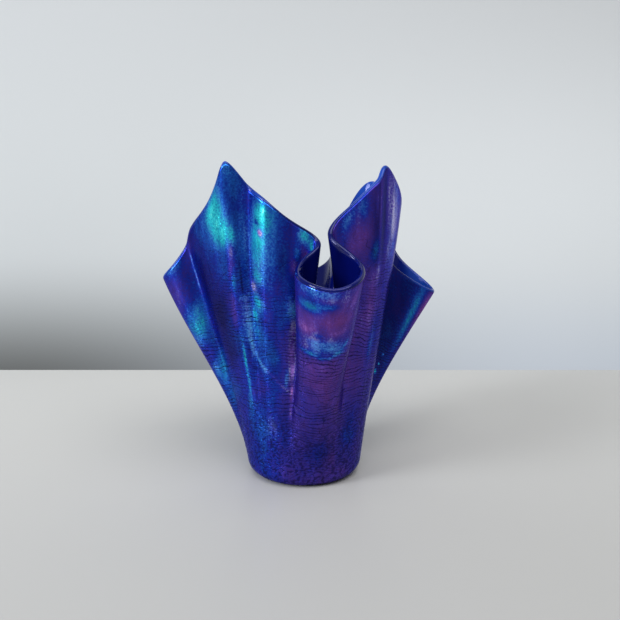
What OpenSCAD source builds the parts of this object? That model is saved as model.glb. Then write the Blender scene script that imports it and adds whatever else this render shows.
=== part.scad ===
// Handkerchief vase: a square sheet of cobalt glass, draped over a round former while it was soft,
// with a thin lustre film fired onto its outer face.
// The origin is the centre of the flat underside, +Z is up, and the tightest fold faces -Y.

/* [Glass] */
// Thickness of the glass sheet
wall = 2.8; // [2:0.1:3.2]
// Radius of the foot, measured to the middle of the glass
foot_radius = 33.5; // [32:0.5:36]
// Height at which the wall leaves the rounded corner of the foot
foot_height = 8; // [5:0.5:10]
// How far the wall leans outward where it leaves that corner, in degrees
foot_flare = 5; // [3:0.5:9]
// How far the cup leans out toward each fold, as a share of the waist's reach beyond the foot
cup_lean = 0.08; // [0:0.02:0.14]
// Direction of the front fold at the foot, in degrees from +X
front_ray = -79; // [-85:1:-73]

/* [Lustre] */
// Thickness of the lustre film
film = 0.2; // [0.1:0.05:0.3]

/* [Smoothness] */
// Points from one station of the outline to the next
steps_round = 2; // [1:1:3]
// Rows of points from the foot to the rim
steps_up = 10; // [8:1:14]
// Rows of points round the corner of the foot
steps_corner = 3; // [2:1:5]
// Rows of points over the rounded rim
steps_rim = 3; // [2:1:5]

/* [Hidden] */

// Stations going round the vase: rim x, y and z, then waist x and y, all to the middle of the glass.
// The waist sets which way each stretch of wall leans and how far down a fold keeps its width.
stations = [
    // front fold
    [15, -78, 118, 12, -63],
    [23, -75, 120, 18, -61],
    [28, -68, 123, 23, -56],
    [30, -59, 127, 25, -48],
    [27, -51, 132, 24, -42],
    [20, -47, 138, 22, -38],
    [14, -42, 144, 21, -34],
    [18, -36, 152, 25, -31],
    // corner on the right, towards the front
    [28, -34, 161, 33, -30],
    [38, -31, 171, 39, -29],
    [42, -27, 175, 43, -26],
    [45, -22, 182, 45, -23],
    [51, -14, 175, 50, -15],
    [56, -4, 166, 51, -7],
    [56, 5, 155, 50, 0],
    [55, 12, 142, 47, 6],
    [53, 15, 128, 46, 9],
    // right fold
    [62, 16, 119, 51, 11],
    [73, 18, 112, 57, 13],
    [82, 22, 108, 61, 17],
    [80, 30, 112, 59, 24],
    [70, 36, 121, 55, 30],
    [61, 41, 131, 48, 35],
    // corner on the right, towards the back
    [58, 48, 145, 47, 42],
    [60, 57, 161, 49, 49],
    [54, 63, 175, 45, 54],
    [46, 66, 180, 39, 55],
    [38, 70, 173, 35, 58],
    [31, 73, 161, 29, 58],
    [24, 72, 149, 24, 55],
    // back fold
    [20, 77, 138, 20, 58],
    [20, 85, 127, 18, 63],
    [11, 91, 119, 9, 67],
    [-1, 92, 115, -2, 68],
    [-12, 88, 119, -11, 64],
    [-16, 79, 128, -15, 57],
    [-17, 70, 140, -17, 51],
    // corner on the left, towards the back
    [-23, 63, 149, -23, 48],
    [-33, 57, 159, -31, 47],
    [-42, 49, 169, -36, 42],
    [-50, 42, 178, -41, 37],
    [-57, 35, 168, -47, 33],
    [-61, 26, 155, -50, 25],
    [-65, 18, 142, -52, 17],
    // left fold
    [-71, 12, 131, -59, 12],
    [-79, 7, 123, -65, 7],
    [-83, 0, 119, -68, 0],
    [-81, -7, 121, -67, -6],
    [-75, -11, 127, -62, -11],
    [-68, -8, 138, -57, -9],
    [-65, -13, 146, -54, -14],
    // corner on the left, towards the front
    [-60, -20, 152, -50, -20],
    [-51, -31, 161, -45, -28],
    [-44, -39, 174, -42, -35],
    [-41, -41, 182, -37, -37],
    [-34, -38, 175, -33, -33],
    [-28, -36, 168, -28, -33],
    [-20, -44, 162, -22, -42],
    [-11, -42, 154, -14, -40],
    [-2, -40, 148, -8, -40],
    [6, -38, 143, -1, -36],
    [8, -43, 138, 4, -38],
    // back round to the front fold
    [2, -48, 133, 0, -45],
    [-2, -56, 128, -2, -51],
    [-2, -66, 124, -1, -57],
    [5, -75, 120, 5, -61],
];

count = len(stations);

// The member of a closed list at any index
function at(list, i) = list[(i + len(list)) % len(list)];

// Rays of the sheet leave the foot in step with the length of rim between them
rim_stations = [for (s = stations) [s[0], s[1], s[2]]];
rim_gaps = [for (i = [0 : count - 1]) norm(at(rim_stations, i + 1) - rim_stations[i])];
rim_runs = [for (i = 0, run = 0; i < count; run = run + rim_gaps[i], i = i + 1) run];
rim_length = rim_runs[count - 1] + rim_gaps[count - 1];
rays = [for (run = rim_runs) front_ray + 360 * run / rim_length];
rises = [for (s = stations) s[2] - foot_height];

function on_ray(i, radius, z) = [radius * cos(rays[i]), radius * sin(rays[i]), z];

// A smooth closed curve through a ring of stations: a cubic B-spline whose control points are
// moved outward just enough for the curve to meet the stations
function controls(ring) = [
    for (i = [0 : len(ring) - 1]) (8 * ring[i] - at(ring, i - 1) - at(ring, i + 1)) / 6
];
function spline_point(c, i, f) =
    (pow(1 - f, 3) * at(c, i - 1)
    + (3 * pow(f, 3) - 6 * pow(f, 2) + 4) * c[i]
    + (-3 * pow(f, 3) + 3 * pow(f, 2) + 3 * f + 1) * at(c, i + 1)
    + pow(f, 3) * at(c, i + 2)) / 6;
function outline(ring) = let (c = controls(ring)) [
    for (i = [0 : count - 1], k = [0 : steps_round - 1]) spline_point(c, i, k / steps_round)
];

// The four outlines that steer the wall, from the foot to the rim
foot_line = outline([for (i = [0 : count - 1]) on_ray(i, foot_radius, foot_height)]);
cup_line = outline([
    for (i = [0 : count - 1])
        let (reach = norm([stations[i][3], stations[i][4]]) - foot_radius)
            on_ray(i, foot_radius + rises[i] / 3 * tan(foot_flare) + cup_lean * reach,
                foot_height + rises[i] / 3)
]);
waist_line = outline([
    for (i = [0 : count - 1]) [stations[i][3], stations[i][4], foot_height + 2 * rises[i] / 3]
]);
rim_line = outline(rim_stations);
around = len(rim_line);

// A point of the middle surface and the two directions in which it runs on, t from 0 at the foot to 1
function wall_point(j, t) =
    pow(1 - t, 3) * at(foot_line, j)
    + 3 * pow(1 - t, 2) * t * at(cup_line, j)
    + 3 * (1 - t) * pow(t, 2) * at(waist_line, j)
    + pow(t, 3) * at(rim_line, j);
function upward(j, t) =
    pow(1 - t, 2) * (at(cup_line, j) - at(foot_line, j))
    + 2 * (1 - t) * t * (at(waist_line, j) - at(cup_line, j))
    + pow(t, 2) * (at(rim_line, j) - at(waist_line, j));
function unit(v) = v / norm(v);
function outward(j, t) = unit(cross(wall_point(j + 1, t) - wall_point(j - 1, t), upward(j, t)));

// A ring of the wall, moved outward from the middle of the glass
function wall_ring(t, out) = [for (j = [0 : around - 1]) wall_point(j, t) + out * outward(j, t)];

// The corner of the foot is an arc from the flare of the wall down to level
corner_radius = (foot_height - wall / 2) / (1 - sin(foot_flare));
corner_z = wall / 2 + corner_radius;
corner_inset = corner_radius * cos(foot_flare);
function corner_ring(turn, out) = [
    for (p = foot_line)
        let (r = norm([p.x, p.y]), c = r - corner_inset, a = (corner_radius + out) * cos(turn))
            [p.x / r * (c + a), p.y / r * (c + a), corner_z - (corner_radius + out) * sin(turn)]
];

// The rim is rounded from the outer face over to the inner one
function rim_ring(turn) = [
    for (j = [0 : around - 1])
        rim_line[j] + wall / 2 * (cos(turn) * outward(j, 1) + sin(turn) * unit(upward(j, 1)))
];

// Rings of one face, from the level part of the foot up to the rim
function corner_turn(k) = 90 - (90 - foot_flare) * k / steps_corner;
function face_rings(out, first) = [
    for (k = [first : steps_corner - 1]) corner_ring(corner_turn(k), out),
    for (k = [0 : steps_up]) wall_ring(k / steps_up, out)
];
function reversed(list) = [for (i = [len(list) - 1 : -1 : 0]) list[i]];

// Triangles between neighbouring rings of n points, with the last ring joined to the first if looped
function strips(rings, n, looped) = [
    for (i = [0 : rings - (looped ? 1 : 2)], j = [0 : n - 1])
        let (a = i * n, b = (i + 1) % rings * n, k = (j + 1) % n)
            each [[a + j, b + j, b + k], [a + j, b + k, a + k]]
];
function joined(rings) = [for (ring = rings) each ring];

// The glass: underside, outer face, rounded rim, inner face and floor, as one closed skin
module glass_body() {
    rings = concat(
        face_rings(wall / 2, 0),
        [for (k = [1 : steps_rim - 1]) rim_ring(180 * k / steps_rim)],
        reversed(face_rings(-wall / 2, 0))
    );
    last = (len(rings) - 1) * around;
    underside = [for (j = [0 : around - 1]) j];
    floor_face = [for (j = [around - 1 : -1 : 0]) last + j];
    color("#14188c")
        polyhedron(joined(rings), concat(strips(len(rings), around, false), [underside, floor_face]));
}

// The film covers the outer face, from just above the underside to just short of the rim's rounding
module lustre_skin() {
    rings = concat(face_rings(wall / 2 + film, 1), reversed(face_rings(wall / 2, 1)));
    color("#4a2fb0")
        polyhedron(joined(rings), strips(len(rings), around, true));
}

glass_body();
lustre_skin();
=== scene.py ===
"""The looks of a handkerchief vase: cobalt glass with a crackled lustre film fired onto its outer face.

The wall follows the same outlines as the CAD model, drawn with many more points, so that the
rounded rim, the folds and the puckers of the film are all real shape.
"""
import math

import bpy
import numpy as np
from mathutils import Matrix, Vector, noise


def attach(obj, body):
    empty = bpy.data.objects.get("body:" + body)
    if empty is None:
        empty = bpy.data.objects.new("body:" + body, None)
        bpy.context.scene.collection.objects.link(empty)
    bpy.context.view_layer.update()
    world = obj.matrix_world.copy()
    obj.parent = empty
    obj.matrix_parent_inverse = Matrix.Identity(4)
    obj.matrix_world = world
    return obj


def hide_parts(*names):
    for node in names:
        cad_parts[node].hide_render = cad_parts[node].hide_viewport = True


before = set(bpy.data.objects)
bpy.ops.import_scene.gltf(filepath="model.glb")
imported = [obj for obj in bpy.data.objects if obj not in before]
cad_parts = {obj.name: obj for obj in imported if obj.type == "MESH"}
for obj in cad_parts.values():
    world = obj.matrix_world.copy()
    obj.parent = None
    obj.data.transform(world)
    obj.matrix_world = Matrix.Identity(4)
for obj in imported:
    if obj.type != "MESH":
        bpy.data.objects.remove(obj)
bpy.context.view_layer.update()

MM = 0.001

# ---------------------------------------------------------------- the shape of the wall, in mm

WALL = 2.8                # thickness of the glass
FOOT_RADIUS = 33.5        # to the middle of the glass
FOOT_HEIGHT = 8.0         # where the wall leaves the rounded corner of the foot
FOOT_FLARE = math.radians(5)
CUP_LEAN = 0.08           # how far the cup leans out toward each fold
FRONT_RAY = math.radians(-79)
FILM = 0.08               # thickness of the lustre film
FILM_GAP = 0.02           # so that film and glass never share a face

STEPS_ROUND = 9           # points from one station to the next
STEPS_CORNER = 10
STEPS_RIM = 10
LEVEL_RINGS = (0.35, 0.7)  # rings on the level floor and underside, as shares of its radius
CORNER_START = 2          # the film starts this many steps round the foot's corner

# Climbs, from 0 at the foot to 1 at the rim, of the rings on the glass and on the film
PLAIN_CLIMBS = np.linspace(0, 1, 51)
FINE_CLIMBS = np.concatenate([np.linspace(0, 0.3, 111)[:-1], np.linspace(0.3, 0.8, 126)[:-1],
                              np.linspace(0.8, 1, 26)])

# Stations going round the vase: rim x, y and z, then waist x and y, all to the middle of the glass.
STATIONS = np.array([
    # front fold
    (15, -78, 118, 12, -63),
    (23, -75, 120, 18, -61),
    (28, -68, 123, 23, -56),
    (30, -59, 127, 25, -48),
    (27, -51, 132, 24, -42),
    (20, -47, 138, 22, -38),
    (14, -42, 144, 21, -34),
    (18, -36, 152, 25, -31),
    # corner on the right, towards the front
    (28, -34, 161, 33, -30),
    (38, -31, 171, 39, -29),
    (42, -27, 175, 43, -26),
    (45, -22, 182, 45, -23),
    (51, -14, 175, 50, -15),
    (56, -4, 166, 51, -7),
    (56, 5, 155, 50, 0),
    (55, 12, 142, 47, 6),
    (53, 15, 128, 46, 9),
    # right fold
    (62, 16, 119, 51, 11),
    (73, 18, 112, 57, 13),
    (82, 22, 108, 61, 17),
    (80, 30, 112, 59, 24),
    (70, 36, 121, 55, 30),
    (61, 41, 131, 48, 35),
    # corner on the right, towards the back
    (58, 48, 145, 47, 42),
    (60, 57, 161, 49, 49),
    (54, 63, 175, 45, 54),
    (46, 66, 180, 39, 55),
    (38, 70, 173, 35, 58),
    (31, 73, 161, 29, 58),
    (24, 72, 149, 24, 55),
    # back fold
    (20, 77, 138, 20, 58),
    (20, 85, 127, 18, 63),
    (11, 91, 119, 9, 67),
    (-1, 92, 115, -2, 68),
    (-12, 88, 119, -11, 64),
    (-16, 79, 128, -15, 57),
    (-17, 70, 140, -17, 51),
    # corner on the left, towards the back
    (-23, 63, 149, -23, 48),
    (-33, 57, 159, -31, 47),
    (-42, 49, 169, -36, 42),
    (-50, 42, 178, -41, 37),
    (-57, 35, 168, -47, 33),
    (-61, 26, 155, -50, 25),
    (-65, 18, 142, -52, 17),
    # left fold
    (-71, 12, 131, -59, 12),
    (-79, 7, 123, -65, 7),
    (-83, 0, 119, -68, 0),
    (-81, -7, 121, -67, -6),
    (-75, -11, 127, -62, -11),
    (-68, -8, 138, -57, -9),
    (-65, -13, 146, -54, -14),
    # corner on the left, towards the front
    (-60, -20, 152, -50, -20),
    (-51, -31, 161, -45, -28),
    (-44, -39, 174, -42, -35),
    (-41, -41, 182, -37, -37),
    (-34, -38, 175, -33, -33),
    (-28, -36, 168, -28, -33),
    (-20, -44, 162, -22, -42),
    (-11, -42, 154, -14, -40),
    (-2, -40, 148, -8, -40),
    (6, -38, 143, -1, -36),
    (8, -43, 138, 4, -38),
    # back round to the front fold
    (2, -48, 133, 0, -45),
    (-2, -56, 128, -2, -51),
    (-2, -66, 124, -1, -57),
    (5, -75, 120, 5, -61),
], float)


def closed_curve(ring):
    """A smooth closed curve through a ring of stations: a cubic B-spline with its control points
    moved outward just enough for the curve to meet the stations."""
    control = (8 * ring - np.roll(ring, 1, 0) - np.roll(ring, -1, 0)) / 6
    before, after, last = (np.roll(control, k, 0) for k in (1, -1, -2))
    rows = []
    for f in np.arange(STEPS_ROUND) / STEPS_ROUND:
        rows.append(((1 - f) ** 3 * before + (3 * f ** 3 - 6 * f ** 2 + 4) * control
                     + (-3 * f ** 3 + 3 * f ** 2 + 3 * f + 1) * after + f ** 3 * last) / 6)
    return np.stack(rows, 1).reshape(-1, ring.shape[1])


def steering_outlines():
    """The four outlines from the foot to the rim, which are the Bezier handles of every fall line."""
    rim = STATIONS[:, :3]
    gaps = np.linalg.norm(np.roll(rim, -1, 0) - rim, axis=1)
    runs = np.concatenate([[0], np.cumsum(gaps)[:-1]])
    rays = FRONT_RAY + 2 * math.pi * runs / gaps.sum()
    facing = np.stack([np.cos(rays), np.sin(rays)], 1)
    rises = rim[:, 2:] - FOOT_HEIGHT
    level = np.full_like(rises, FOOT_HEIGHT)
    foot = np.hstack([facing * FOOT_RADIUS, level])
    reach = np.linalg.norm(STATIONS[:, 3:], axis=1, keepdims=True) - FOOT_RADIUS
    cup_radius = FOOT_RADIUS + rises / 3 * math.tan(FOOT_FLARE) + CUP_LEAN * reach
    cup = np.hstack([facing * cup_radius, level + rises / 3])
    waist = np.hstack([STATIONS[:, 3:], level + 2 * rises / 3])
    return [closed_curve(ring) for ring in (foot, cup, waist, rim)]


FOOT_LINE, CUP_LINE, WAIST_LINE, RIM_LINE = steering_outlines()
AROUND = len(RIM_LINE)


def unit(v):
    return v / np.linalg.norm(v, axis=-1, keepdims=True)


def wall(t):
    """The middle of the glass at t, from 0 at the foot to 1 at the rim, with its outward and upward
    directions."""
    def ring(s):
        return ((1 - s) ** 3 * FOOT_LINE + 3 * (1 - s) ** 2 * s * CUP_LINE
                + 3 * (1 - s) * s ** 2 * WAIST_LINE + s ** 3 * RIM_LINE)
    here = ring(t)
    up = ((1 - t) ** 2 * (CUP_LINE - FOOT_LINE) + 2 * (1 - t) * t * (WAIST_LINE - CUP_LINE)
          + t ** 2 * (RIM_LINE - WAIST_LINE))
    along = np.roll(here, -1, 0) - np.roll(here, 1, 0)
    return here, unit(np.cross(along, up)), unit(up)


CORNER_RADIUS = (FOOT_HEIGHT - WALL / 2) / (1 - math.sin(FOOT_FLARE))
CORNER_Z = WALL / 2 + CORNER_RADIUS
CORNER_INSET = CORNER_RADIUS * math.cos(FOOT_FLARE)


def corner(turn, out):
    """A ring of the foot's rounded corner; turn is 90 degrees where it meets the level."""
    radius = np.linalg.norm(FOOT_LINE[:, :2], axis=1, keepdims=True)
    across = FOOT_LINE[:, :2] / radius * (radius - CORNER_INSET + (CORNER_RADIUS + out) * math.cos(turn))
    return np.hstack([across, np.full((AROUND, 1), CORNER_Z - (CORNER_RADIUS + out) * math.sin(turn))])


def corner_turns(first):
    """The turns of the corner's rings, from its level edge up to just short of the wall."""
    steps = np.arange(first, STEPS_CORNER) / STEPS_CORNER
    return math.pi / 2 - (math.pi / 2 - FOOT_FLARE) * steps


def level_rings(out):
    """Rings on the level part of the foot, from near its middle to the corner."""
    edge = corner(math.pi / 2, out)
    return [edge * [share, share, 1] for share in LEVEL_RINGS]


def wall_rings(out, climbs):
    """Rings of one face of the wall, out from the middle of the glass."""
    rings = []
    for t in climbs:
        here, outward, _ = wall(t)
        rings.append(here + out * outward)
    return rings


def rim_rings():
    """The fire-polished rim, rounded over from the outer face to the inner one."""
    here, outward, up = wall(1.0)
    turns = np.arange(1, STEPS_RIM) * math.pi / STEPS_RIM
    return [here + WALL / 2 * (math.cos(a) * outward + math.sin(a) * up) for a in turns]


# ---------------------------------------------------------------- puckers and cracks in the film

CRACK_SPACING = 1.8       # mm up the glass from one level crack to the next
PUCKER = 0.07             # how far the film bulges between cracks, mm either way
DRIFT = 1.9               # how many cracks' spacing a crack may wander by in broad bends
KINKS = 0.55              # and in small ones
GRAIN_SIZE = 1.6          # of the leathery net round the foot, mm
GRAIN_SQUASH = 1.8        # how many times wider than tall its cells are
GRAIN_GAIN = 1.5          # lifts its noise to run from about -1 to 1

# Climbs between which something fades in, from nothing at the first to full at the second
WELTS_FROM_RIM = (0.80, 0.55)
WELTS_FROM_FOOT = (0.12, 0.30)
LEATHER_FADE = (0.38, 0.16)
RIM_FADE = (1.0, 0.985)


def crack_waves(points, lengths):
    """A count that grows by one from each level crack to the next, bent so that they wander."""
    found = np.empty(len(points))
    for i, (x, y, z) in enumerate(points):
        drift = noise.noise((x / 19, y / 19, z / 16)) * DRIFT
        kinks = noise.noise((x / 5.5 + 31, y / 5.5, z / 4.5)) * KINKS
        found[i] = drift + kinks
    return found + lengths / CRACK_SPACING


def leather(points):
    """Small round puckers, from about -1 to 1."""
    found = np.empty(len(points))
    for i, (x, y, z) in enumerate(points):
        found[i] = noise.noise((x / GRAIN_SIZE, y / GRAIN_SIZE, z / GRAIN_SIZE * GRAIN_SQUASH))
    return found * GRAIN_GAIN


def ease(value, start, end):
    """0 at start, 1 at end, smooth between; start may be the larger."""
    f = np.clip((value - start) / (end - start), 0, 1)
    return f * f * (3 - 2 * f)


def pucker_height(waves, grain, climb):
    """How far the film stands out, in mm: level welts on the body, leather at the foot."""
    welt = np.minimum(np.abs(waves % 1 - 0.5) * 4, 1) - 0.5
    body = ease(climb, *WELTS_FROM_RIM) * ease(climb, *WELTS_FROM_FOOT)
    foot = ease(climb, *LEATHER_FADE)
    return PUCKER * (welt * body + grain * foot)


# ---------------------------------------------------------------- meshes

def grid_faces(rings, looped):
    """Quads between neighbouring rings, with the last joined to the first if looped."""
    j = np.arange(AROUND)
    k = (j + 1) % AROUND
    quads = []
    for i in range(rings if looped else rings - 1):
        a, b = i * AROUND, (i + 1) % rings * AROUND
        quads.append(np.stack([a + j, a + k, b + k, b + j], 1))
    return np.concatenate(quads)


def placed(name, data):
    """A new object in the scene with this mesh, light or camera."""
    obj = bpy.data.objects.new(name, data)
    bpy.context.collection.objects.link(obj)
    return obj


def piece(name, rings, looped):
    """A closed mesh of these rings, its two ends filled where it isn't looped."""
    points = np.concatenate(rings) * MM
    faces = grid_faces(len(rings), looped).tolist()
    if not looped:
        last = (len(rings) - 1) * AROUND
        faces += [list(range(AROUND))[::-1], list(range(last, last + AROUND))]
    mesh = bpy.data.meshes.new(name)
    mesh.from_pydata(points.tolist(), [], faces)
    mesh.shade_smooth()
    return placed(name, mesh)


def give(obj, name, values):
    """Stores one value for each point of a piece, for its material to read."""
    layer = obj.data.attributes.new(name, "FLOAT", "POINT")
    layer.data.foreach_set("value", np.ascontiguousarray(values, np.float32))


def glass_body():
    """The sheet of glass itself, one closed skin from the underside over the rim to the floor."""
    half = WALL / 2
    rings = level_rings(half) + [corner(turn, half) for turn in corner_turns(0)]
    rings += wall_rings(half, PLAIN_CLIMBS) + rim_rings()
    inside = level_rings(-half) + [corner(turn, -half) for turn in corner_turns(0)]
    inside += wall_rings(-half, PLAIN_CLIMBS)
    rings += inside[::-1]
    obj = piece("glass_body_visual", rings, False)
    give(obj, "light", daylight(np.concatenate(rings)))
    return obj


# Daylight in the glass grows between these heights and distances out to a side, in mm
PEAKS_LIT = (140, 178)
FOLDS_LIT = (88, 112)
FOLDS_OUT = (58, 78)
FOLD_LIGHT = 0.8          # the most that a side fold gets


def daylight(points):
    """How much light comes through the glass: most in the tall peaks and the wide side folds."""
    x, _, z = points.T
    folds = FOLD_LIGHT * ease(np.abs(x), *FOLDS_OUT) * ease(z, *FOLDS_LIT)
    return np.maximum(ease(z, *PEAKS_LIT), folds)


def lustre_skin():
    """The film, a thin closed band on the outer face with the puckers in it."""
    out = WALL / 2 + FILM_GAP
    turns = corner_turns(CORNER_START)
    outer = [corner(turn, out + FILM) for turn in turns] + wall_rings(out + FILM, FINE_CLIMBS)
    climbs = np.concatenate([np.zeros(len(turns)), FINE_CLIMBS])
    outer = np.array(outer)
    steps = np.linalg.norm(np.diff(outer, axis=0), axis=2)
    lengths = np.concatenate([np.zeros((1, AROUND)), np.cumsum(steps, 0)])
    waves = crack_waves(outer.reshape(-1, 3), lengths.ravel())
    grain = leather(outer.reshape(-1, 3))
    climb = np.repeat(climbs, AROUND)
    height = pucker_height(waves, grain, climb).reshape(-1, AROUND, 1)
    rim_fade = ease(climbs, *RIM_FADE)[:, None, None]
    outward = [wall(t)[1] for t in climbs]
    outer = outer + height * rim_fade * np.array(outward)
    inner = [corner(turn, out) for turn in turns] + wall_rings(out, PLAIN_CLIMBS)
    obj = piece("lustre_skin_visual", list(outer) + inner[::-1], True)
    hidden = np.zeros(len(inner) * AROUND)
    hue, painted_light = painted(climbs)
    for name, values in (("climb", climb), ("waves", waves), ("grain", grain), ("hue", hue.ravel()),
                         ("painted_light", painted_light.ravel())):
        give(obj, name, np.concatenate([values, hidden]))
    return obj


# ---------------------------------------------------------------- where the film changes colour

# Hue runs from 0, rose, through violet at 0.3 and cobalt at 0.5 to teal at 0.8 and pale cyan at 1.
# Besides the hue, each point has a painted light. Near its ground level of 0.35 it gives the film's own
# tone. Above that, up to 1, it paints highlights, glints and reflections, and below it, down to 0, it
# paints shade in valleys, grooves and faces turned from the lamps. At the most painted light a hue of
# 0.4 is the pale lavender of a painted reflection.
GROUND_HUE = 0.45
GROUND_PAINTED_LIGHT = 0.35
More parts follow.
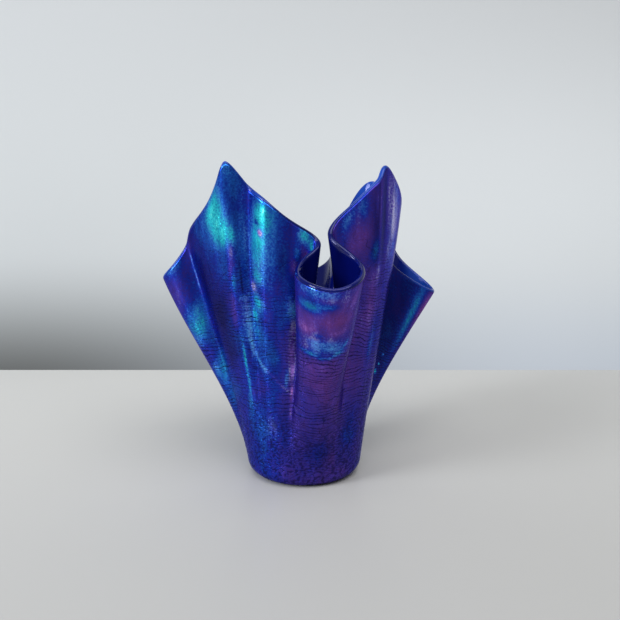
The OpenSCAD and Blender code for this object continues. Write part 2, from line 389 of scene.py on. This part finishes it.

# Each patch is laid over those before it: middle station, middle climb, reach in stations, reach in
# climb, hue, painted light (high for painted highlights, glints and reflections, low for painted shade)
# and strength.
PATCHES = [
    # broad ground colours
    (3, 0.5, 9, 2, 0.27, 0.36, 1.0),
    (20, 0.5, 7, 2, 0.42, 0.30, 1.0),
    (32, 0.5, 7, 2, 0.36, 0.40, 1.0),
    (40, 0.5, 6, 2, 0.56, 0.42, 1.0),
    (54, 0.5, 6, 2, 0.51, 0.42, 1.0),
    # left fold
    (45.5, 0.85, 2.5, 0.4, 0.40, 0.45, 0.8),
    (47.8, 1.0, 0.7, 0.04, 0.62, 0.55, 0.9),
    (47.3, 0.89, 0.8, 0.06, 0.38, 0.44, 0.9),
    (47.9, 0.77, 0.8, 0.04, 0.62, 0.46, 0.8),
    (47.8, 0.70, 1.1, 0.06, 0.76, 0.55, 0.9),
    (47.2, 0.66, 0.4, 0.05, 0.62, 0.70, 0.9),
    (48.8, 0.60, 0.6, 0.03, 0.60, 0.34, 0.9),
    (47.6, 0.49, 0.5, 0.03, 0.58, 0.70, 0.9),
    (48.8, 0.46, 1.5, 0.08, 0.74, 0.48, 0.9),
    (49.8, 0.33, 2.0, 0.06, 0.70, 0.42, 0.8),
    # painted shade in the valley beside it, with two thin painted highlights along its crease
    (50.7, 0.78, 0.9, 0.18, 0.48, 0.10, 0.9),
    (51.3, 0.62, 1.3, 0.13, 0.49, 0.02, 1.0),
    (51.6, 0.47, 1.3, 0.06, 0.50, 0.06, 0.9),
    (49.25, 0.93, 0.13, 0.035, 0.56, 0.85, 1.0),
    (49.25, 0.84, 0.13, 0.05, 0.52, 0.85, 1.0),
    # panel under the left peak, with a painted cyan highlight where it faces the window light
    (54.0, 0.99, 0.5, 0.05, 0.62, 0.55, 0.9),
    (53.6, 0.93, 0.5, 0.06, 0.56, 0.30, 0.8),
    (52.3, 0.955, 0.62, 0.05, 0.88, 0.92, 1.0),
    (52.6, 0.89, 0.66, 0.05, 0.88, 0.90, 1.0),
    (53.1, 0.825, 0.55, 0.045, 0.88, 0.90, 1.0),
    (53.8, 0.785, 0.40, 0.03, 0.82, 0.90, 0.9),
    (53.6, 0.745, 0.35, 0.03, 0.36, 0.75, 0.9),
    (53.4, 0.69, 0.45, 0.035, 0.28, 0.48, 0.8),
    (53.5, 0.65, 0.22, 0.03, 0.74, 0.45, 0.7),
    (52.2, 0.76, 0.9, 0.05, 0.54, 0.35, 0.7),
    (53.0, 0.57, 0.35, 0.06, 0.34, 0.55, 0.8),
    (53.5, 0.40, 0.20, 0.05, 0.86, 0.66, 1.0),
    (53.6, 0.31, 0.25, 0.05, 0.78, 0.62, 1.0),
    (53.4, 0.25, 0.40, 0.04, 0.66, 0.62, 0.9),
    # the smooth channel, with a line of painted shade along its crease
    (54.9, 0.80, 0.55, 0.18, 0.58, 0.54, 0.9),
    (55.0, 0.55, 0.40, 0.10, 0.62, 0.66, 0.9),
    (54.3, 0.62, 0.12, 0.10, 0.50, 0.00, 1.0),
    (54.35, 0.47, 0.16, 0.06, 0.50, 0.02, 1.0),
    # painted highlights and glints on the ridge
    (57.4, 0.92, 0.55, 0.07, 0.70, 0.55, 0.9),
    (56.8, 0.95, 0.48, 0.05, 0.90, 0.88, 1.0),
    (56.6, 0.86, 0.55, 0.06, 0.84, 1.00, 1.0),
    (56.6, 0.79, 0.52, 0.05, 0.76, 0.82, 1.0),
    (56.6, 0.73, 0.50, 0.03, 0.82, 0.88, 0.9),
    (56.15, 0.68, 0.28, 0.020, 0.34, 1.00, 1.0),
    (56.5, 0.64, 0.50, 0.03, 0.84, 0.88, 1.0),
    (56.1, 0.585, 0.45, 0.025, 0.90, 0.88, 1.0),
    (56.2, 0.53, 0.7, 0.05, 0.72, 0.58, 0.8),
    (56.8, 0.887, 0.14, 0.010, 0.06, 1.00, 1.0),
    (57.0, 0.970, 0.10, 0.018, 1.00, 1.00, 1.0),
    (56.6, 0.915, 0.12, 0.008, 0.50, 0.20, 0.9),
    (56.8, 1.0, 0.60, 0.014, 0.64, 0.45, 0.9),
    # the navy panel beside it, with a painted highlight on the strip where it turns into the groove
    (58.3, 0.87, 0.60, 0.16, 0.53, 0.24, 1.0),
    (58.2, 0.69, 0.8, 0.07, 0.50, 0.36, 0.8),
    (57.5, 0.86, 0.30, 0.10, 0.62, 0.50, 0.7),
    (59.3, 0.98, 0.40, 0.03, 0.82, 0.72, 1.0),
    (59.9, 0.96, 0.30, 0.04, 0.84, 0.70, 1.0),
    (59.6, 0.915, 0.30, 0.02, 0.28, 0.55, 0.9),
    (59.0, 0.90, 0.20, 0.03, 0.72, 0.50, 0.9),
    (58.9, 0.85, 0.25, 0.03, 0.26, 0.52, 0.9),
    (57.5, 0.47, 1.2, 0.05, 0.66, 0.42, 0.7),
    (59.1, 0.69, 0.45, 0.04, 0.58, 0.80, 0.9),
    (59.4, 0.62, 0.42, 0.04, 0.27, 0.78, 0.9),
    (59.5, 0.54, 0.42, 0.05, 0.26, 0.84, 0.9),
    (59.8, 0.46, 0.34, 0.04, 0.24, 0.96, 1.0),
    (59.2, 0.41, 0.22, 0.04, 0.66, 0.75, 0.9),
    (60.1, 0.37, 0.30, 0.03, 0.20, 0.85, 1.0),
    (60.3, 0.29, 0.4, 0.03, 0.30, 0.60, 0.8),
    (57.2, 0.18, 1.1, 0.05, 0.50, 0.70, 0.9),
    (55.3, 0.20, 1.2, 0.05, 0.58, 0.50, 0.8),
    # painted shade in the groove beside the front fold
    (62.0, 0.75, 1.0, 0.30, 0.45, 0.00, 1.0),
    # front fold
    (65.4, 0.985, 1.6, 0.035, 0.60, 0.64, 1.0),
    (1.2, 0.93, 0.5, 0.05, 0.25, 0.60, 0.9),
    (64.9, 0.915, 0.8, 0.028, 0.74, 0.46, 1.0),
    (65.9, 0.930, 0.5, 0.016, 0.76, 0.48, 0.8),
    (0.3, 0.855, 1.8, 0.035, 0.18, 0.46, 1.0),
    (64.7, 0.805, 0.6, 0.030, 0.18, 0.62, 0.9),
    (65.4, 0.790, 0.35, 0.014, 0.62, 0.52, 0.7),
    (0.6, 0.805, 0.9, 0.020, 0.18, 0.52, 0.8),
    (65.9, 0.730, 2.2, 0.036, 0.57, 0.70, 0.95),
    (65.5, 0.750, 0.7, 0.020, 0.58, 0.80, 0.8),
    (64.6, 0.710, 0.35, 0.04, 0.30, 0.66, 0.8),
    (65.0, 0.690, 0.8, 0.014, 0.72, 0.60, 0.8),
    (1.0, 0.695, 0.6, 0.016, 0.64, 0.70, 0.8),
    (65.9, 0.620, 1.7, 0.035, 0.26, 0.46, 0.9),
    (65.9, 0.54, 1.6, 0.05, 0.25, 0.43, 0.9),
    (65.6, 0.35, 2.2, 0.08, 0.36, 0.32, 0.8),
    (0.5, 0.14, 6.0, 0.10, 0.45, 0.22, 0.8),
    (3.2, 0.09, 1.2, 0.04, 0.22, 0.32, 0.8),
    # right panel, with a dark line of painted shade where it turns away and a pale painted reflection on
    # the strip beyond
    (7.5, 0.97, 0.6, 0.04, 0.60, 0.56, 0.9),
    (8.4, 0.96, 0.30, 0.05, 0.58, 0.52, 0.9),
    (7.9, 0.865, 0.8, 0.05, 0.27, 0.44, 0.9),
    (7.2, 0.91, 0.3, 0.03, 0.54, 0.55, 0.7),
    (9.3, 0.88, 0.35, 0.10, 0.38, 0.16, 1.0),
    (9.3, 0.94, 0.12, 0.06, 0.34, 0.55, 0.9),
    (9.8, 0.92, 0.13, 0.08, 0.30, 0.60, 0.9),
    (9.3, 0.78, 0.6, 0.04, 0.66, 0.34, 0.9),
    (10.6, 0.85, 0.55, 0.15, 0.46, 0.04, 1.0),
    (12.1, 0.84, 0.62, 0.20, 0.40, 1.00, 1.0),
    (11.3, 0.93, 0.25, 0.07, 0.40, 0.75, 0.8),
    (9.8, 0.68, 1.0, 0.035, 0.36, 0.72, 0.9),
    (9.2, 0.57, 1.8, 0.06, 0.28, 0.52, 0.9),
    (10.3, 0.44, 0.9, 0.06, 0.62, 0.48, 0.9),
    (6.5, 0.45, 2.0, 0.08, 0.28, 0.38, 0.7),
    (7.5, 0.15, 2.6, 0.10, 0.52, 0.34, 0.8),
    # right fold: painted shade on the face turned from the light, and painted glints
    (15.4, 0.70, 2.6, 0.36, 0.50, 0.00, 1.0),
    (15.6, 0.96, 0.5, 0.04, 0.32, 0.42, 0.8),
    (17.2, 0.80, 0.6, 0.25, 0.49, 0.06, 0.9),
    (18.2, 0.85, 0.28, 0.20, 0.76, 0.52, 1.0),
    (18.9, 0.88, 0.30, 0.16, 0.12, 0.56, 1.0),
    (16.8, 0.46, 0.22, 0.014, 0.94, 1.00, 1.0),
    (17.1, 0.51, 0.10, 0.008, 0.86, 0.90, 1.0),
    (17.3, 0.57, 0.08, 0.008, 0.60, 0.90, 1.0),
    (16.6, 0.28, 0.8, 0.05, 0.76, 0.48, 0.9),
    (21.0, 0.80, 0.8, 0.12, 0.72, 0.60, 0.9),
    (22.0, 0.58, 0.8, 0.10, 0.28, 0.50, 0.8),
    # round the back
    (25.0, 0.90, 0.6, 0.06, 0.86, 0.80, 0.9),
    (26.3, 0.70, 0.5, 0.12, 0.76, 0.62, 0.9),
    (27.3, 0.82, 0.3, 0.14, 0.46, 0.10, 0.9),
    (28.6, 0.86, 0.6, 0.10, 0.26, 0.58, 0.9),
    (30.5, 0.62, 0.4, 0.20, 0.44, 0.06, 0.9),
    (31.6, 0.92, 0.9, 0.04, 0.76, 0.56, 0.9),
    (32.6, 0.80, 1.2, 0.05, 0.14, 0.62, 0.9),
    (33.0, 0.68, 1.0, 0.03, 0.64, 0.78, 0.9),
    (32.0, 0.50, 1.6, 0.06, 0.26, 0.46, 0.8),
    (35.6, 0.62, 0.4, 0.20, 0.46, 0.06, 0.9),
    (38.0, 0.88, 0.6, 0.08, 0.84, 0.75, 0.9),
    (38.8, 0.62, 0.5, 0.12, 0.36, 0.62, 0.8),
    (40.2, 0.90, 0.7, 0.06, 0.90, 0.88, 1.0),
    (40.8, 0.76, 0.5, 0.06, 0.82, 0.80, 0.9),
    (41.6, 0.66, 0.3, 0.14, 0.50, 0.08, 0.9),
    (43.0, 0.80, 0.6, 0.12, 0.30, 0.56, 0.9),
    (39.0, 0.34, 2.0, 0.08, 0.70, 0.44, 0.8),
    (28.0, 0.30, 2.5, 0.08, 0.36, 0.34, 0.8),
]

# Painted highlights: thin bright streaks of painted reflection along the glass. For each, the stations
# and climbs that it passes, its half width in mm, then hue, painted light and strength.
PAINTED_HIGHLIGHT_STREAKS = [
    ([(54.5, 0.60), (54.4, 0.53), (54.6, 0.465), (55.5, 0.435)], 2.0, 0.60, 0.84, 0.9),
    ([(55.5, 0.435), (56.3, 0.42), (57.1, 0.405)], 1.3, 0.60, 0.80, 0.9),
    ([(57.1, 0.405), (58.7, 0.38), (60.5, 0.355), (62.3, 0.34), (64.3, 0.335)], 0.7, 0.44, 0.60, 0.8),
    ([(65.6, 0.675), (0.2, 0.680), (0.9, 0.70), (1.5, 0.74)], 1.0, 0.68, 0.64, 0.7),
    ([(40.6, 0.60), (41.0, 0.47), (42.6, 0.36), (45.0, 0.28)], 1.2, 0.60, 0.80, 0.8),
]


def on_sheet(station, climb):
    """The point of the glass at this station and climb, in mm."""
    return wall(climb)[0][int(round(station * STEPS_ROUND)) % AROUND]


def streak_gap(points, way):
    """How far each point lies from a streak, in mm."""
    nearest = np.full(len(points), np.inf)
    stops = [on_sheet(*stop) for stop in way]
    for a, b in zip(stops, stops[1:]):
        along = b - a
        share = np.clip((points - a) @ along / (along @ along), 0, 1)[:, None]
        nearest = np.minimum(nearest, np.linalg.norm(points - a - share * along, axis=1))
    return nearest


def painted(climbs):
    """Hue and painted light, with its painted highlights, reflections and shade, for every point of
    these rings.
    """
    station = np.arange(AROUND)[None, :] / STEPS_ROUND
    count = len(STATIONS)
    hue = np.full((len(climbs), AROUND), GROUND_HUE)
    painted_light = np.full((len(climbs), AROUND), GROUND_PAINTED_LIGHT)
    for middle, height, reach, rise, patch_hue, patch_painted_light, strength in PATCHES:
        apart = (station - middle + count / 2) % count - count / 2
        cover = strength * np.exp(-(apart / reach) ** 2 - ((climbs[:, None] - height) / rise) ** 2)
        hue += (patch_hue - hue) * cover
        painted_light += (patch_painted_light - painted_light) * cover
    places = np.concatenate([wall(t)[0] for t in climbs])
    for way, width, streak_hue, streak_painted_light, strength in PAINTED_HIGHLIGHT_STREAKS:
        cover = strength * np.exp(-(streak_gap(places, way) / width) ** 2).reshape(hue.shape)
        hue += (streak_hue - hue) * cover
        painted_light += (streak_painted_light - painted_light) * cover
    return hue, painted_light


# ---------------------------------------------------------------- materials

class Nodes:
    """A short way to write a node tree."""

    def __init__(self, name):
        self.material = bpy.data.materials.new(name)
        self.material.use_nodes = True
        self.tree = self.material.node_tree
        self.tree.nodes.clear()

    def add(self, kind, inputs=None, **settings):
        """A node with these settings, its inputs given by name or number."""
        node = self.tree.nodes.new(kind)
        for key, value in settings.items():
            setattr(node, key, value)
        for key, value in (inputs or {}).items():
            self.put(node, key, value)
        return node

    def put(self, node, key, value):
        """Links or sets one input."""
        socket = node.inputs[key]
        if isinstance(value, bpy.types.NodeSocket):
            self.tree.links.new(value, socket)
        else:
            socket.default_value = value

    def math(self, operation, a, b=0.0, clamp=False):
        node = self.add("ShaderNodeMath", {0: a, 1: b}, operation=operation, use_clamp=clamp)
        return node.outputs[0]

    def mix(self, factor, a, b):
        """Colour a at factor 0 and b at 1; the node has sockets for every type, so they are picked."""
        node = self.add("ShaderNodeMix", data_type="RGBA")
        for key, value in (("Factor", factor), ("A", a), ("B", b)):
            kind = "VALUE" if key == "Factor" else "RGBA"
            socket = next(s for s in node.inputs if s.name == key and s.type == kind)
            if isinstance(value, bpy.types.NodeSocket):
                self.tree.links.new(value, socket)
            else:
                socket.default_value = value if kind == "VALUE" else (*value, 1.0)
        return next(s for s in node.outputs if s.type == "RGBA")

    def spread(self, value, low, high, to_low=0.0, to_high=1.0, smooth=True):
        """Maps low..high to to_low..to_high, and stops at both ends."""
        kind = "SMOOTHSTEP" if smooth else "LINEAR"
        node = self.add("ShaderNodeMapRange", {0: value, 1: low, 2: high, 3: to_low, 4: to_high},
                        interpolation_type=kind)
        return node.outputs[0]

    def stretched(self, vector, scale):
        node = self.add("ShaderNodeMapping", {"Vector": vector, "Scale": scale})
        return node.outputs[0]

    def noise(self, vector, scale, detail=2.0, rough=0.5):
        node = self.add("ShaderNodeTexNoise", {"Vector": vector, "Scale": scale, "Detail": detail,
                                               "Roughness": rough})
        return node.outputs["Fac"]

    def attribute(self, name):
        return self.add("ShaderNodeAttribute", attribute_name=name).outputs["Fac"]

    def ramp(self, value, stops):
        """A colour for the value from (place, colour) stops."""
        node = self.add("ShaderNodeValToRGB", {"Fac": value})
        elements = node.color_ramp.elements
        while len(elements) < len(stops):
            elements.new(0.5)
        for element, (place, colour) in zip(elements, stops):
            element.position = place
            element.color = (*colour, 1.0)
        return node.outputs["Color"]

    def surface(self, inputs):
        """Finishes the material with one Principled shader."""
        shader = self.add("ShaderNodeBsdfPrincipled", inputs)
        out = self.add("ShaderNodeOutputMaterial")
        self.tree.links.new(shader.outputs[0], out.inputs["Surface"])
        return self.material


# The film's colour by hue, in the most painted shade, at half painted light and in the most painted
# highlight
FILM_IN_PAINTED_SHADE = [
    (0.00, (0.048, 0.010, 0.090)),
    (0.30, (0.013, 0.007, 0.078)),
    (0.50, (0.0015, 0.002, 0.060)),
    (0.70, (0.002, 0.014, 0.120)),
    (0.90, (0.003, 0.045, 0.120)),
]
FILM_MIDDLE = [
    (0.00, (0.250, 0.062, 0.270)),
    (0.16, (0.170, 0.052, 0.320)),
    (0.32, (0.080, 0.042, 0.370)),
    (0.50, (0.010, 0.032, 0.420)),
    (0.64, (0.014, 0.120, 0.540)),
    (0.78, (0.010, 0.240, 0.420)),
    (0.92, (0.010, 0.380, 0.480)),
]
FILM_IN_PAINTED_HIGHLIGHT = [
    (0.00, (0.950, 0.480, 0.700)),
    (0.16, (0.620, 0.260, 0.800)),
    (0.32, (0.400, 0.240, 0.920)),
    (0.40, (0.800, 0.780, 0.980)),
    (0.49, (0.200, 0.300, 0.940)),
    (0.66, (0.090, 0.480, 0.980)),
    (0.80, (0.030, 0.740, 0.920)),
    (0.94, (0.080, 0.960, 0.960)),
    (1.00, (0.800, 1.000, 0.880)),
]
CRACK_COLOUR = (0.004, 0.003, 0.045)


def moved_place(n, place, scale, reach):
    """The place with small random shifts of up to reach, so that lines through it aren't straight."""
    bend = n.add("ShaderNodeTexNoise", {"Vector": place, "Scale": scale, "Detail": 2.0})
    shift = n.add("ShaderNodeVectorMath", {0: bend.outputs["Color"], 1: (0.5, 0.5, 0.5)},
                  operation="SUBTRACT")
    shift = n.add("ShaderNodeVectorMath", {0: shift.outputs[0], "Scale": reach}, operation="SCALE")
    return n.add("ShaderNodeVectorMath", {0: place, 1: shift.outputs[0]}).outputs[0]


def level_cracks(n, place, climb):
    """Level cracks up the body, each broken into lengths of its own."""
    waves = n.attribute("waves")
    frizz = n.spread(n.noise(place, 700.0), 0.3, 0.7, -0.12, 0.12, False)
    waves = n.math("ADD", waves, frizz)
    row = n.math("FLOOR", waves)
    gap = n.math("ABSOLUTE", n.math("SUBTRACT", n.math("FRACT", waves), 0.5))
    parts = n.add("ShaderNodeCombineXYZ", {0: 0.0, 1: 0.0, 2: n.math("MULTIPLY", row, 3.7)})
    along = n.add("ShaderNodeVectorMath", {0: n.stretched(place, (75.0, 75.0, 0.0)),
                                           1: parts.outputs[0]}).outputs[0]
    weight = n.noise(along, 1.0, 1.0)
    width = n.spread(weight, 0.30, 0.72, 0.03, 0.14)
    line = n.spread(n.math("SUBTRACT", gap, width), -0.04, 0.05, 1.0, 0.0)
    line = n.math("MULTIPLY", line, n.spread(weight, 0.34, 0.42))
    body = n.math("MULTIPLY", n.spread(climb, 0.86, 0.60), n.spread(climb, 0.08, 0.26, 0.45, 1.0))
    return n.math("MULTIPLY", line, body)


def film_cracks(n, place, climb):
    """How deep the film is cracked, from 0 to 1."""
    level = level_cracks(n, place, climb)
    leather_lines = n.spread(n.attribute("grain"), 0.10, -0.40, 0.0, 0.8)
    leather_lines = n.math("MULTIPLY", leather_lines, n.spread(climb, 0.36, 0.14))
    cells = n.add("ShaderNodeTexVoronoi", {"Vector": moved_place(n, place, 90.0, 0.012), "Scale": 62.0},
                  feature="DISTANCE_TO_EDGE")
    long_lines = n.spread(cells.outputs["Distance"], 0.004, 0.014, 1.0, 0.0)
    long_lines = n.math("MULTIPLY", long_lines, n.spread(n.noise(place, 24.0), 0.50, 0.60))
    long_lines = n.math("MULTIPLY", long_lines, n.spread(climb, 0.98, 0.86, 0.0, 0.8))
    return n.math("MAXIMUM", n.math("MAXIMUM", level, leather_lines), long_lines)


def film_colour(n, place, grain, cracks):
    """The hue and the painted light, broken up by patches, upward flow and a fine painted sparkle, less
    the cracks.
    """
    broad = n.noise(n.stretched(place, (70.0, 70.0, 40.0)), 1.0, 3.0, 0.6)
    flow = n.noise(n.stretched(place, (210.0, 210.0, 26.0)), 1.0, 3.0, 0.6)
    hue = n.math("ADD", n.attribute("hue"), n.spread(broad, 0.3, 0.7, -0.08, 0.08, False))
    hue = n.math("ADD", hue, n.spread(grain, 0.3, 0.7, -0.06, 0.06, False), clamp=True)
    streaky = n.math("MULTIPLY", n.attribute("painted_light"), n.spread(flow, 0.3, 0.7, -0.26, 0.22, False))
    painted_light = n.math("ADD", n.attribute("painted_light"), streaky)
    # a fine painted sparkle within the painted highlights
    painted_sparkle = n.math("MULTIPLY", n.attribute("painted_light"), n.spread(grain, 0.32, 0.68, -0.26, 0.26, False))
    painted_light = n.math("ADD", painted_light, painted_sparkle, clamp=True)
    dim = n.mix(n.spread(painted_light, 0.0, 0.5, smooth=False), n.ramp(hue, FILM_IN_PAINTED_SHADE),
                n.ramp(hue, FILM_MIDDLE))
    colour = n.mix(n.spread(painted_light, 0.5, 1.0, smooth=False), dim, n.ramp(hue, FILM_IN_PAINTED_HIGHLIGHT))
    return n.mix(n.math("MULTIPLY", cracks, 0.85), colour, CRACK_COLOUR)


def lustre_film():
    """A crackled, mostly metallic film with a satin surface."""
    n = Nodes("lustre_film_look")
    place = n.add("ShaderNodeTexCoord").outputs["Object"]
    climb = n.attribute("climb")
    grain = n.noise(place, 1000.0, 2.0, 0.7)
    cracks = film_cracks(n, place, climb)
    height = n.math("SUBTRACT", n.math("MULTIPLY", grain, 0.14), n.math("MULTIPLY", cracks, 0.9))
    bump = n.add("ShaderNodeBump", {"Strength": 0.6, "Distance": 0.00020, "Height": height})
    wear = n.noise(place, 160.0, 3.0)
    rough = n.math("ADD", n.spread(wear, 0.3, 0.7, 0.20, 0.32, False), n.math("MULTIPLY", cracks, 0.25))
    return n.surface({"Base Color": film_colour(n, place, grain, cracks), "Metallic": 0.7,
                      "Roughness": rough, "Normal": bump.outputs[0], "Coat Weight": 0.05,
                      "Coat Roughness": 0.08, "Specular IOR Level": 0.25,
                      "Specular Tint": (0.38, 0.36, 0.90, 1.0)})


def cobalt_glass():
    """Glossy glass so deep a blue that it is nearly opaque, brighter where daylight comes through."""
    n = Nodes("cobalt_glass_look")
    place = n.add("ShaderNodeTexCoord").outputs["Object"]
    streaks = n.noise(n.stretched(place, (70.0, 70.0, 14.0)), 1.0, 2.0)
    deep = n.ramp(streaks, [(0.25, (0.0008, 0.002, 0.045)), (0.75, (0.0012, 0.004, 0.110))])
    lit = n.ramp(streaks, [(0.25, (0.003, 0.020, 0.22)), (0.75, (0.010, 0.070, 0.40))])
    colour = n.mix(n.spread(n.attribute("light"), 0.0, 1.0), deep, lit)
    seeds = n.noise(place, 260.0, 1.0)
    bump = n.add("ShaderNodeBump", {"Strength": 0.12, "Distance": 0.0003, "Height": streaks})
    return n.surface({"Base Color": colour, "Roughness": n.spread(seeds, 0.3, 0.7, 0.08, 0.15),
                      "Normal": bump.outputs[0], "IOR": 1.45, "Specular Tint": (0.6, 0.62, 1.0, 1.0)})


def tabletop():
    """A plain pale matte top, with painted shade that makes it darker towards the front and lighter
    towards the back.
    """
    n = Nodes("tabletop_look")
    place = n.add("ShaderNodeTexCoord").outputs["Object"]
    parts = n.add("ShaderNodeSeparateXYZ", {0: place})
    colour = n.mix(n.spread(parts.outputs[1], -0.3, 0.25), (0.395, 0.39, 0.38), (0.50, 0.495, 0.48))
    colour = n.mix(n.spread(n.noise(place, 6.0, 3.0), 0.3, 0.7, 0.0, 0.06), colour, (0.40, 0.39, 0.38))
    return n.surface({"Base Color": colour, "Roughness": 0.32, "IOR": 1.45, "Specular IOR Level": 0.1})


def wall_paint():
    """Pale paint, with painted shade towards the table and more of it on the left, and lighter painted
    shade that darkens it towards the top and on the left.
    """
    n = Nodes("wall_paint_look")
    place = n.add("ShaderNodeTexCoord").outputs["Object"]
    parts = n.add("ShaderNodeSeparateXYZ", {0: place})
    faint = n.noise(place, 3.0, 2.0)
    across = n.spread(parts.outputs[0], -0.5, 0.45)
    paint = n.mix(across, (0.57, 0.585, 0.59), (0.76, 0.78, 0.79))
    paint = n.mix(n.spread(parts.outputs[2], 0.12, 0.62), paint, (0.49, 0.50, 0.51))
    paint = n.mix(n.spread(faint, 0.3, 0.7, 0.0, 0.05), paint, (0.45, 0.47, 0.48))
    shade = n.mix(across, (0.115, 0.118, 0.115), (0.66, 0.70, 0.76))
    lift = n.spread(parts.outputs[2], -0.12, 0.12)
    return n.surface({"Base Color": n.mix(lift, shade, paint), "Roughness": 0.85})


# ---------------------------------------------------------------- the room

TABLE_EDGE = 0.266        # how far the tabletop runs on behind the vase
TABLE_FRONT = -1.2        # where its front edge lies
TABLE_SIDE = 1.6          # how far it runs to either side
WALL_PLACE = 0.62         # how far behind the vase the wall stands
WALL_SIDE = 2.5           # how far it runs to either side
WALL_BOTTOM = -0.6
WALL_TOP = 2.2


def sheet_of(name, corners, material):
    """One flat four-cornered sheet of the surroundings."""
    mesh = bpy.data.meshes.new(name)
    mesh.from_pydata(corners, [], [(0, 1, 2, 3)])
    mesh.materials.append(material)
    obj = placed(name, mesh)


def room():
    """The table, the wall behind it and the even light of the room."""
    sheet_of("tabletop", [(-TABLE_SIDE, TABLE_FRONT, 0), (TABLE_SIDE, TABLE_FRONT, 0),
                          (TABLE_SIDE, TABLE_EDGE, 0), (-TABLE_SIDE, TABLE_EDGE, 0)], tabletop())
    sheet_of("back_wall", [(-WALL_SIDE, WALL_PLACE, WALL_BOTTOM), (WALL_SIDE, WALL_PLACE, WALL_BOTTOM),
                           (WALL_SIDE, WALL_PLACE, WALL_TOP), (-WALL_SIDE, WALL_PLACE, WALL_TOP)],
             wall_paint())
    world = bpy.data.worlds.new("room_light")
    world.use_nodes = True
    back = world.node_tree.nodes["Background"]
    back.inputs["Color"].default_value = (0.80, 0.86, 0.92, 1)
    back.inputs["Strength"].default_value = 0.33
    bpy.context.scene.world = world


def soft_light(name, place, target, size, watts, colour):
    """A rectangular light aimed at a target."""
    data = bpy.data.lights.new(name, "AREA")
    data.shape = "RECTANGLE"
    data.size, data.size_y = size
    data.energy = watts
    data.color = colour
    obj = placed(name, data)
    obj.location = place
    obj.rotation_euler = (Vector(target) - Vector(place)).to_track_quat("-Z", "Y").to_euler()


def lights():
    """A broad ceiling light from the front and a window on the left."""
    soft_light("ceiling", place=(0.3, -0.9, 1.9), target=(0, 0.3, 0.1), size=(2.4, 1.4), watts=39,
               colour=(1.0, 0.99, 0.98))
    soft_light("window", place=(-1.15, -0.75, 0.70), target=(0, 0, 0.12), size=(0.45, 0.8), watts=18.5,
               colour=(0.93, 0.97, 1.0))


CAMERA_PLACE = (0.0036, -0.361, 0.146)
CAMERA_DOWN = math.radians(7.4)
CAMERA_SENSOR = 36        # mm wide
CAMERA_LENS = 34.84       # mm


def camera():
    """The photo's point of view."""
    data = bpy.data.cameras.new("view")
    data.sensor_width = CAMERA_SENSOR
    data.lens = CAMERA_LENS
    data.clip_start = 0.01
    obj = placed("view", data)
    obj.location = CAMERA_PLACE
    obj.rotation_euler = (math.pi / 2 - CAMERA_DOWN, 0, 0)
    bpy.context.scene.camera = obj


# ---------------------------------------------------------------- putting it together

camera()
glass = glass_body()
glass.data.materials.append(cobalt_glass())
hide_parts("glass_body")
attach(glass, "root")

film = lustre_skin()
film.data.materials.append(lustre_film())
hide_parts("lustre_skin")
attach(film, "root")

room()
lights()
bpy.context.scene.view_settings.view_transform = "Standard"
